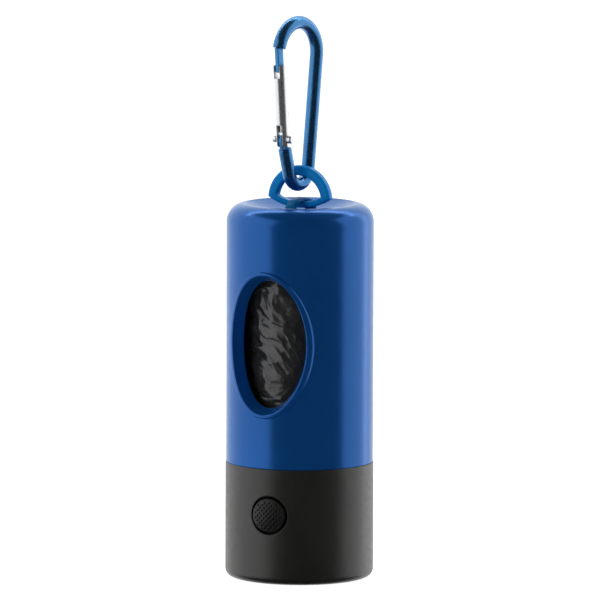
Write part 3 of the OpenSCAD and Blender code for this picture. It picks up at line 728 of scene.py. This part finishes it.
def clip_marks():
    """Marks in the clip's plane as (back, height), from the same bends, span and leans as the CAD frame: the
    middles of the bend and the crown, the arm's foot, the rivet, the nose, and the way from rivet to nose."""
    bend_z, rivet_z = JOINT_AT["clip_swing"][2] / MM, JOINT_AT["gate_open"][2] / MM
    bend = np.array([0, bend_z])
    crown = np.array([(BEND_R - CROWN_R + SPAN * math.sin(LEAN)) / math.cos(LEAN), bend_z + SPAN])
    arm = bend - BEND_R * np.array([math.cos(ARM), math.sin(ARM)])
    rivet = np.array([arm[0] - (rivet_z - arm[1]) * math.tan(ARM), rivet_z])
    nose = crown + CROWN_R * np.array([-math.cos(NOSE), math.sin(NOSE)])
    return bend, crown, arm, rivet, nose, (nose - rivet) / np.linalg.norm(nose - rivet)


class DISPENSER_OT_clip(bpy.types.Operator):
    """Builds the clip's bent rod with its tang and tongue, and the rivet with its two heads"""

    bl_idname = "dispenser.clip"
    bl_label = "Clip"

    def execute(self, context):
        s = settings("clip")
        back, across = clip_axes()
        bend, crown, arm, rivet, nose, gate_up = clip_marks()
        arm_up = np.array([-math.sin(ARM), math.cos(ARM)])
        rod_gap, rod_cap, tang_below, tang_len, tang_wide = 2.65, 0.3, 4.0, 5.0, 1.45
        tongue_len, tongue_wide, tongue_sunk, flat_deep, edge = 2.0, 1.2, 0.6, 0.6, 0.2
        arm_len = (rivet[1] - arm[1]) / math.cos(ARM) - rod_gap
        a = np.linspace(math.pi + ARM, 2 * math.pi - LEAN, 40)
        b = np.linspace(-LEAN, math.pi - NOSE, 60)[:-2]
        line = np.concatenate([(arm + (arm_len - rod_cap) * arm_up)[None],
                               bend + BEND_R * np.stack([np.cos(a), np.sin(a)], -1),
                               crown + CROWN_R * np.stack([np.cos(b), np.sin(b)], -1)])
        rod = swept(clip_place(filled(line, 0.8)), across, circle(s.rod_radius / MM), caps=rod_cap)
        tang_line = rivet - tang_below * arm_up + np.linspace(0, tang_len, 14)[:, None] * arm_up
        taper = np.concatenate([np.ones(10), np.cos(np.linspace(0, 1.1, 4))])
        tang = swept(clip_place(tang_line), across, rounded_box(tang_wide, flat_deep, edge), taper, caps=0.25)
        k = np.linspace(GATE_LEN - tongue_len, np.linalg.norm(nose - rivet) + tongue_sunk, 12)
        tongue = swept(clip_place(rivet + gate_up * k[:, None]), across,
                       rounded_box(tongue_wide, flat_deep, edge), caps=0.2)
        clip = shown("clip_rod", *joined([rod, tang, tongue]), "clip", "clip_blue", ["clip_frame"])
        paint(clip, finish("clip_blue", tuple(s.clip_colour), 0.28, 0.85, scale=260, grain=0.02))
        pin_r, pin_end, head_r, head_z, head_end = 0.75, 1.8, 1.05, 1.9, 3.1
        half = [(pin_r, pin_end), (head_r, head_z), (head_r, head_end), (0, head_end)]
        pin = rounded([(r, -z) for r, z in half[::-1]] + half, [0, 0.35, 0.1, 0, 0, 0.1, 0.35, 0], 5)
        points, faces = turned(filled(pin, 0.5), 40)
        placed = points[:, :1] * back + points[:, 1:2] * UP + points[:, 2:] * across + clip_place(rivet)
        rivet_piece = shown("gate_pin", placed, faces, "clip", "rivet_blue", ["gate_rivet"])
        paint(rivet_piece, finish("rivet_steel", (0.75, 0.77, 0.8), 0.3, 1.0, scale=500, grain=0.08))
        return {"FINISHED"}


class DISPENSER_OT_gate(bpy.types.Operator):
    """Builds the silver gate: a round bar slotted at both ends and rounded at its foot"""

    bl_idname = "dispenser.gate"
    bl_label = "Gate"

    def execute(self, context):
        s = settings("clip")
        rod, slot, foot_low, foot_top, foot_r = s.rod_radius / MM, 0.9, -2.2, 4.0, 2.3
        head_low, head_top, overlap = GATE_LEN - 3.8, GATE_LEN - 0.25, 0.05
        *_, rivet, _, up = clip_marks()
        k = np.linspace(foot_top, head_low, 18)
        parts = [swept(clip_place(rivet + k[:, None] * up), clip_axes()[1], circle(rod), caps=0.02)]
        half = math.acos(slot / rod)
        angles = np.linspace(-half, half, 18)
        cheek = rounded(rod * np.stack([np.sin(angles), np.cos(angles)], -1), 0.1, 3, closed=True)
        for shape in (cheek, (cheek * [1, -1])[::-1]):
            parts.append(self.prong(rivet, up, shape, head_low - overlap, head_top))
            parts.append(self.prong(rivet, up, shape, foot_low, foot_top + overlap, foot_r))
        gate = shown("gate_bar", *joined(parts), "gate", "gate_silver", ["gate"])
        paint(gate, finish("gate_silver", tuple(s.gate_colour), 0.3, 0.85, shade=0.93, grain=0.08,
                           stretch=(1, 1, 0.15)))
        return {"FINISHED"}

    def prong(self, rivet, up, shape, low, high, foot_r=None):
        """A cheek beside a slot: each point is rivet + k up + u width (across x up) + v across. The width
        follows a circle of the foot's radius below the rivet, or else is eased in at the top."""
        back, across = clip_axes()
        least_square, foot_half = 0.05, 1.7
        k = np.linspace(low, high, 30)
        if foot_r is None:
            width = np.concatenate([np.ones(27), [0.98, 0.94, 0.86]])
        else:
            square = np.maximum(foot_r ** 2 - np.minimum(k, 0) ** 2, least_square)
            width = np.minimum(1.0, np.sqrt(square) / foot_half)
        lateral = np.cross(across, up[0] * back + up[1] * UP)
        line = clip_place(rivet + k[:, None] * up)
        return skinned(line[:, None] + (shape[:, 0] * width[:, None])[..., None] * lateral
                       + shape[:, 1:] * across)


# CARRIED CAD NODES


class DISPENSER_OT_inner(bpy.types.Operator):
    """Gives the torch's inner pieces, the lens and the small parts their finishes"""

    bl_idname = "dispenser.inner"
    bl_label = "Inner pieces"

    def execute(self, context):
        for made, names in (
            (finish("cover_black", (0.014, 0.014, 0.013), 0.45, scale=350, grain=0.15),
             "lens_bezel torch_cover battery_tube switch_body"),
            (finish("board_green", (0.02, 0.13, 0.06), 0.35, coat=0.4, shade=0.6, scale=260),
             "led_board switch_board"),
            (finish("contact_metal", (0.7, 0.55, 0.28), 0.3, 1.0, scale=400, grain=0.08),
             "lower_contact upper_contact"),
            (finish("spring_steel", (0.55, 0.55, 0.57), 0.25, 1.0, scale=700, grain=0.05),
             "contact_spring gate_spring gate_pusher"),
            (finish("screw_steel", (0.5, 0.5, 0.52), 0.3, 1.0, scale=600), "cover_screws"),
            (finish("bright_reflector", (0.85, 0.85, 0.87), 0.08, 1.0, scale=120, grain=0.03), "reflector"),
            (finish("resistor_body", (0.55, 0.4, 0.22), 0.3, coat=0.5, scale=500), "resistor"),
            (finish("plunger_grey", (0.2, 0.2, 0.19), 0.5, scale=400), "switch_plunger"),
            (finish("lead_red", (0.55, 0.02, 0.015), 0.35, scale=500), "red_lead"),
            (finish("lead_black", (0.015, 0.015, 0.015), 0.35, scale=500), "black_lead"),
            (finish("core_card", (0.42, 0.29, 0.17), 0.85, shade=0.7, scale=350, grain=0.4), "roll_core"),
            (finish("cell_steel", (0.6, 0.61, 0.63), 0.25, 1.0, scale=250, grain=0.06), "cell_1 cell_2 cell_3"),
            (finish("lamp_epoxy", (0.82, 0.84, 0.74), 0.12, coat=0.5, scale=200), "led_1 led_2 led_3"),
            (self.clear_lens(), "lens"),
        ):
            for name in names.split():
                paint(FRAME["nodes"][name], made)
        return {"FINISHED"}

    def clear_lens(self):
        """Clear moulded plastic with a faint haze and light scratches."""
        made, tree, shader = nodes_of("clear_lens")
        feed(tree, shader, {
            "Base Color": blended(tree, noise(tree, 150, 3), (0.9, 0.93, 0.95), (0.97, 0.98, 0.98)),
            "Roughness": spread(tree, noise(tree, 500, 4), 0.02, 0.07),
            "Transmission Weight": 1.0, "IOR": 1.49})
        bumped(tree, shader, [(noise(tree, 300, 2), 1.0)], 0.02, 0.00003)
        return made


# STAGE


class DISPENSER_OT_stage(bpy.types.Operator):
    """Sets the camera, the soft lights, the pale floor and the white surround"""

    bl_idname = "dispenser.stage"
    bl_label = "Stage"

    def execute(self, context):
        s = settings("stage")
        scene = bpy.context.scene
        scene.view_settings.view_transform = "Standard"
        camera = bpy.data.objects.new("photo_camera", bpy.data.cameras.new("photo_camera"))
        scene.collection.objects.link(camera)
        camera.data.lens, camera.data.sensor_width = s.lens, 36.0
        camera.data.clip_start, camera.data.clip_end = 0.05, 50
        place = Vector((s.distance * math.sin(s.view_turn), -s.distance * math.cos(s.view_turn), s.height))
        turn = (Matrix.Rotation(s.view_turn, 4, "Z") @ Matrix.Rotation(math.pi / 2 - s.view_pitch, 4, "X")
                @ Matrix.Rotation(s.view_roll, 4, "Z"))
        camera.matrix_world = Matrix.Translation(place) @ turn
        scene.camera = camera
        for name, turn, distance, size, z, radiance in (
            ("left_light", math.radians(-82), 0.75, (1.15, 1.2), 0.2, s.side_light),
            ("right_light", math.radians(100), 0.75, (0.9, 1.2), 0.2, s.side_light),
            ("back_strip", math.pi, 0.5, (2.2, 0.09), 0.97, s.strip_light),
        ):
            self.softbox(name, s.view_turn + turn, distance, size, z, radiance)
        self.floor()
        self.world(s)
        return {"FINISHED"}

    def softbox(self, name, turn, distance, size, z, radiance):
        """A flat soft light that faces the object from one side; its power is radiance x pi x area."""
        light = bpy.data.lights.new(name, "AREA")
        light.shape, light.size, light.size_y = "RECTANGLE", *size
        light.energy = radiance * math.pi * size[0] * size[1]
        lamp = bpy.data.objects.new(name, light)
        place = Vector((distance * math.sin(turn), -distance * math.cos(turn), z))
        lamp.location = place
        lamp.rotation_euler = (place - Vector((0, 0, 0.1))).to_track_quat("Z", "Y").to_euler()
        bpy.context.scene.collection.objects.link(lamp)

    def floor(self):
        """A wide pale disc that shows near white to the camera and still takes a soft shadow; gloss looks
        through it to the studio's surround."""
        t = 2 * math.pi * np.arange(96) / 96
        rim = 6 * np.stack([np.cos(t), np.sin(t), np.zeros_like(t)], -1)
        mesh = bpy.data.meshes.new("floor")
        mesh.from_pydata(rim.tolist(), [], [list(range(96))])
        floor = bpy.data.objects.new("floor", mesh)
        bpy.context.scene.collection.objects.link(floor)
        made, tree, shader = nodes_of("pale_floor")
        pale = blended(tree, noise(tree, 3), (0.8, 0.8, 0.8), (0.82, 0.82, 0.82))
        feed(tree, shader, {"Base Color": pale, "Roughness": 0.8})
        path = node(tree, "LightPath", {}).outputs
        lift = node(tree, "Math", {0: seen_rays(tree, path), 1: 0.86}, operation="MULTIPLY")
        glow = node(tree, "Emission", {"Strength": lift.outputs[0]})
        both = node(tree, "AddShader", {0: shader.outputs[0], 1: glow.outputs[0]})
        clear = node(tree, "BsdfTransparent", {})
        seen = node(tree, "MixShader", {"Fac": path["Is Glossy Ray"], 1: both.outputs[0], 2: clear.outputs[0]})
        feed(tree, tree.nodes["Material Output"], {"Surface": seen.outputs[0]})
        paint(floor, made)

    def world(self, s):
        """White to the camera. For gloss it is a little over white behind the object and dark on the camera's
        side, as in a studio with a lit white backdrop; for soft light it is an even pale grey."""
        world = bpy.data.worlds.new("studio")
        bpy.context.scene.world = world
        world.use_nodes = True
        tree = world.node_tree
        tree.nodes.clear()
        path = node(tree, "LightPath", {}).outputs
        place = node(tree, "TexCoord", {}).outputs["Generated"]
        away = (-math.sin(s.view_turn), math.cos(s.view_turn), 0)
        behind = node(tree, "VectorMath", {0: place, 1: away}, operation="DOT_PRODUCT").outputs["Value"]
        backdrop = node(tree, "MapRange", {"Value": behind, "From Min": 0.4, "From Max": 0.56, "To Min": 0.015,
                                           "To Max": 1.35}, interpolation_type="SMOOTHSTEP").outputs["Result"]
        gloss, plain, soft = (node(tree, "Background", {"Color": (1, 1, 1, 1), "Strength": strength}).outputs[0]
                              for strength in (backdrop, 1.0, 0.25))
        unseen = node(tree, "MixShader", {"Fac": path["Is Glossy Ray"], 1: soft, 2: gloss}).outputs[0]
        whole = node(tree, "MixShader", {"Fac": seen_rays(tree, path), 1: unseen, 2: plain}).outputs[0]
        node(tree, "OutputWorld", {"Surface": whole})


def seen_rays(tree, path):
    """1 for what the camera sees directly or through something clear, and 0 for other light."""
    rays = {0: path["Is Camera Ray"], 1: path["Is Transmission Ray"]}
    return node(tree, "Math", rays, operation="MAXIMUM").outputs[0]


# PANEL AND START


STEPS = ("shell", "base", "button", "roll", "ring", "clip", "gate", "inner", "stage")


class DISPENSER_PT_panel(bpy.types.Panel):
    bl_label = "Waste bag dispenser"
    bl_idname = "DISPENSER_PT_panel"
    bl_space_type = "VIEW_3D"
    bl_region_type = "UI"
    bl_category = "Dispenser"

    def draw(self, context):
        for step in STEPS:
            self.layout.operator("dispenser." + step)
        for group in GROUPS:
            box = self.layout.box()
            for prop in GROUPS[group].__annotations__:
                box.prop(settings(group), prop)


GROUPS = {"shell": ShellSettings, "base": BaseSettings, "roll": RollSettings, "clip": ClipSettings,
          "stage": StageSettings}
CLASSES = (*GROUPS.values(), DISPENSER_OT_shell, DISPENSER_OT_base, DISPENSER_OT_button, DISPENSER_OT_roll,
           DISPENSER_OT_ring, DISPENSER_OT_clip, DISPENSER_OT_gate, DISPENSER_OT_inner, DISPENSER_OT_stage,
           DISPENSER_PT_panel)


def register():
    for cls in CLASSES:
        bpy.utils.register_class(cls)
    for name, group in GROUPS.items():
        setattr(bpy.types.Scene, "dispenser_" + name, PointerProperty(type=group))


def unregister():
    for name in GROUPS:
        delattr(bpy.types.Scene, "dispenser_" + name)
    for cls in reversed(CLASSES):
        bpy.utils.unregister_class(cls)


def main():
    register()
    for step in STEPS:
        getattr(bpy.ops.dispenser, step)()


if __name__ == "__main__":
    main()
